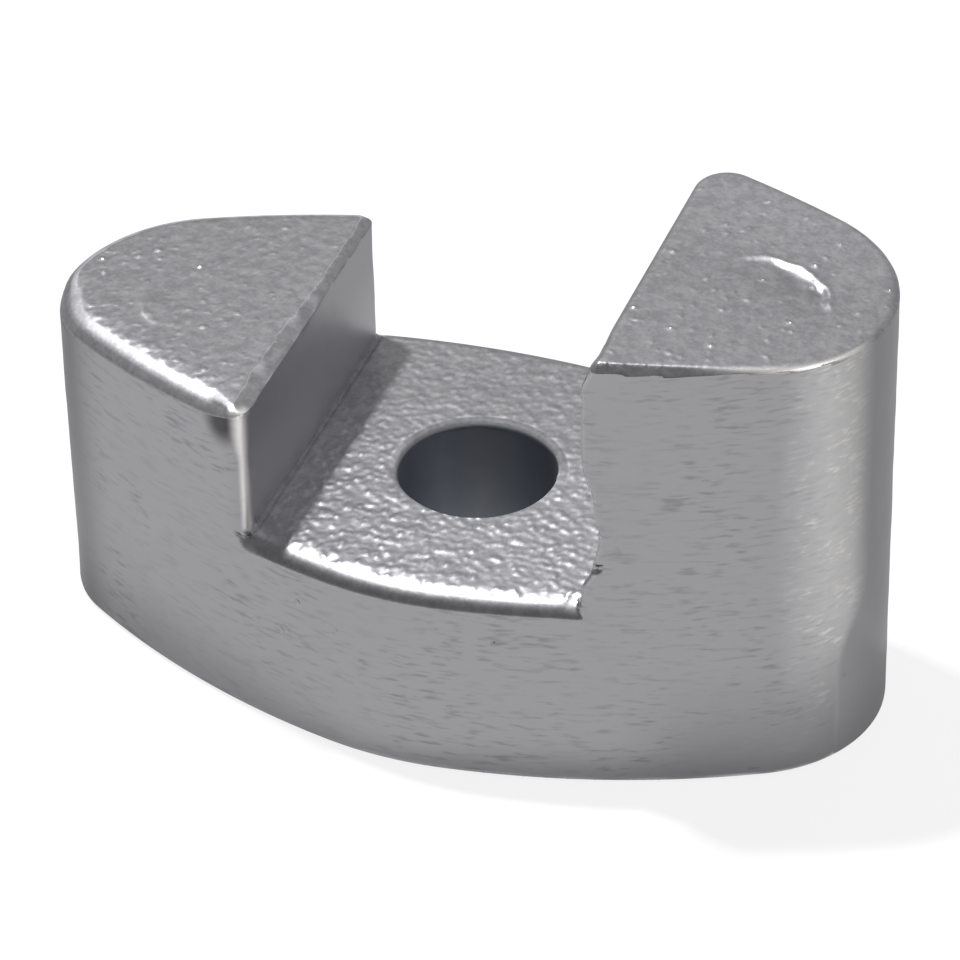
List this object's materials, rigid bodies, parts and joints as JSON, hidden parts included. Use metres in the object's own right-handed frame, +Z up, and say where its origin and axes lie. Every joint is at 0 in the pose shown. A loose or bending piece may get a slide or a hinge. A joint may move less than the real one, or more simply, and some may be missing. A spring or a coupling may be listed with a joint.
{
  "type": "sacrificial anode",
  "caption": "Cast zinc sacrificial anode: an oval block with a low lug and a tall lug either side of a cross slot, bolted down through a hole in the slot floor.",
  "frame": {"origin": "middle of the flat mounting face, under the block", "axes": "+X along the block towards the tall lug, -Y towards the crowned front face, +Z up along the bolt hole, out of the slot floor"},
  "size_m": [0.049, 0.024, 0.0287],
  "materials": {
    "cast_zinc": "as-cast zinc: pebbled tops and floor, front ground by hand"
  },
  "bodies": {
    "root": {"anode_casting": "cast_zinc"}
  },
  "joints": []
}
